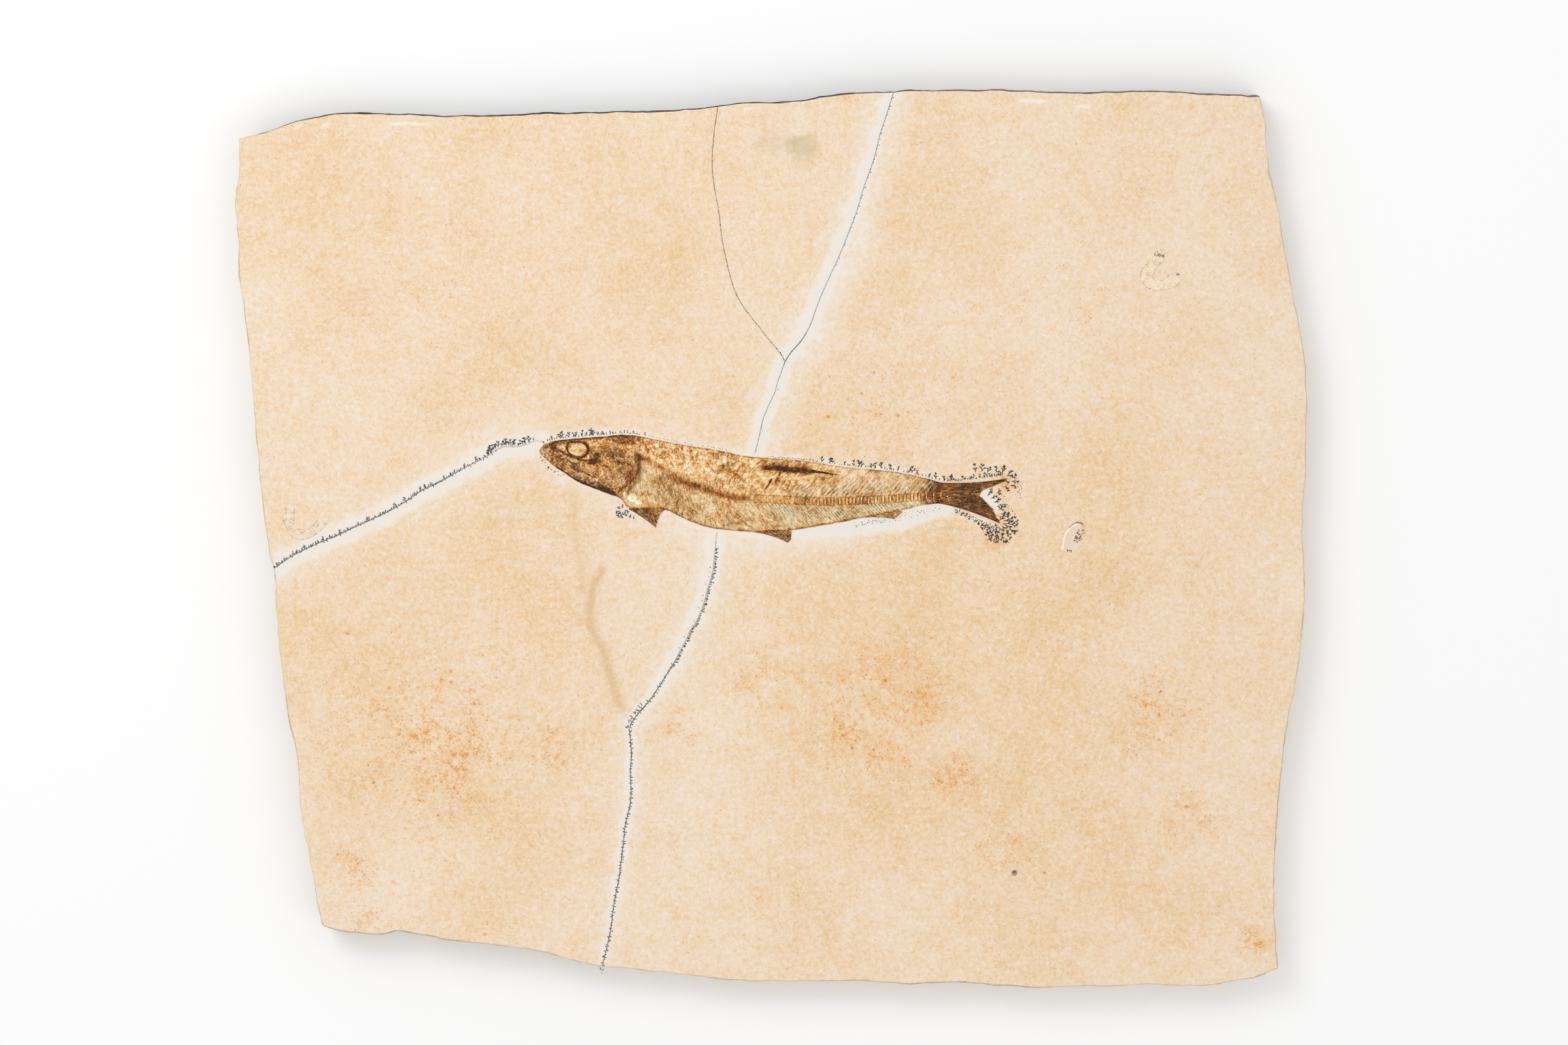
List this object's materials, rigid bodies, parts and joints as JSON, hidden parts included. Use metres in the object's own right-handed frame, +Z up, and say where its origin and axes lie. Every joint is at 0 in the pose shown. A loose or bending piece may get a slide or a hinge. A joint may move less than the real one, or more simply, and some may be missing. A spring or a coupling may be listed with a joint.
{
  "type": "fossil fish slab",
  "caption": "Irregular split plate of cream limestone with a long slender fossil fish in low relief, branching cracks, curled trace fossils and broken ledged edges.",
  "frame": {"origin": "centre of the object's box on the underside, where the slab rests", "axes": "+X towards the fish's tail, +Y from its belly to its back, +Z up out of the bedding face"},
  "size_m": [0.5609, 0.4701, 0.0199],
  "materials": {
    "limestone": "matte, cream with whitish bands along the cracks and rust specks",
    "skull_bone": "satin brown bone, wrinkled",
    "scaled_flank": "satin tan scales with a dark band and a beaded backbone",
    "fin_ray": "satin dark brown rays",
    "trace_calcite": "matte pale calcite with tan outlines",
    "manganese": "matte slate black mineral film"
  },
  "bodies": {
    "root": {"limestone_slab": "limestone", "skull": "skull_bone", "trunk": "scaled_flank", "dorsal_fin": "fin_ray", "pectoral_fin": "fin_ray", "pelvic_fin": "fin_ray", "anal_fin": "fin_ray", "tail_fin": "fin_ray", "curled_trace_right": "trace_calcite", "curled_trace_left": "trace_calcite"}
  },
  "joints": []
}
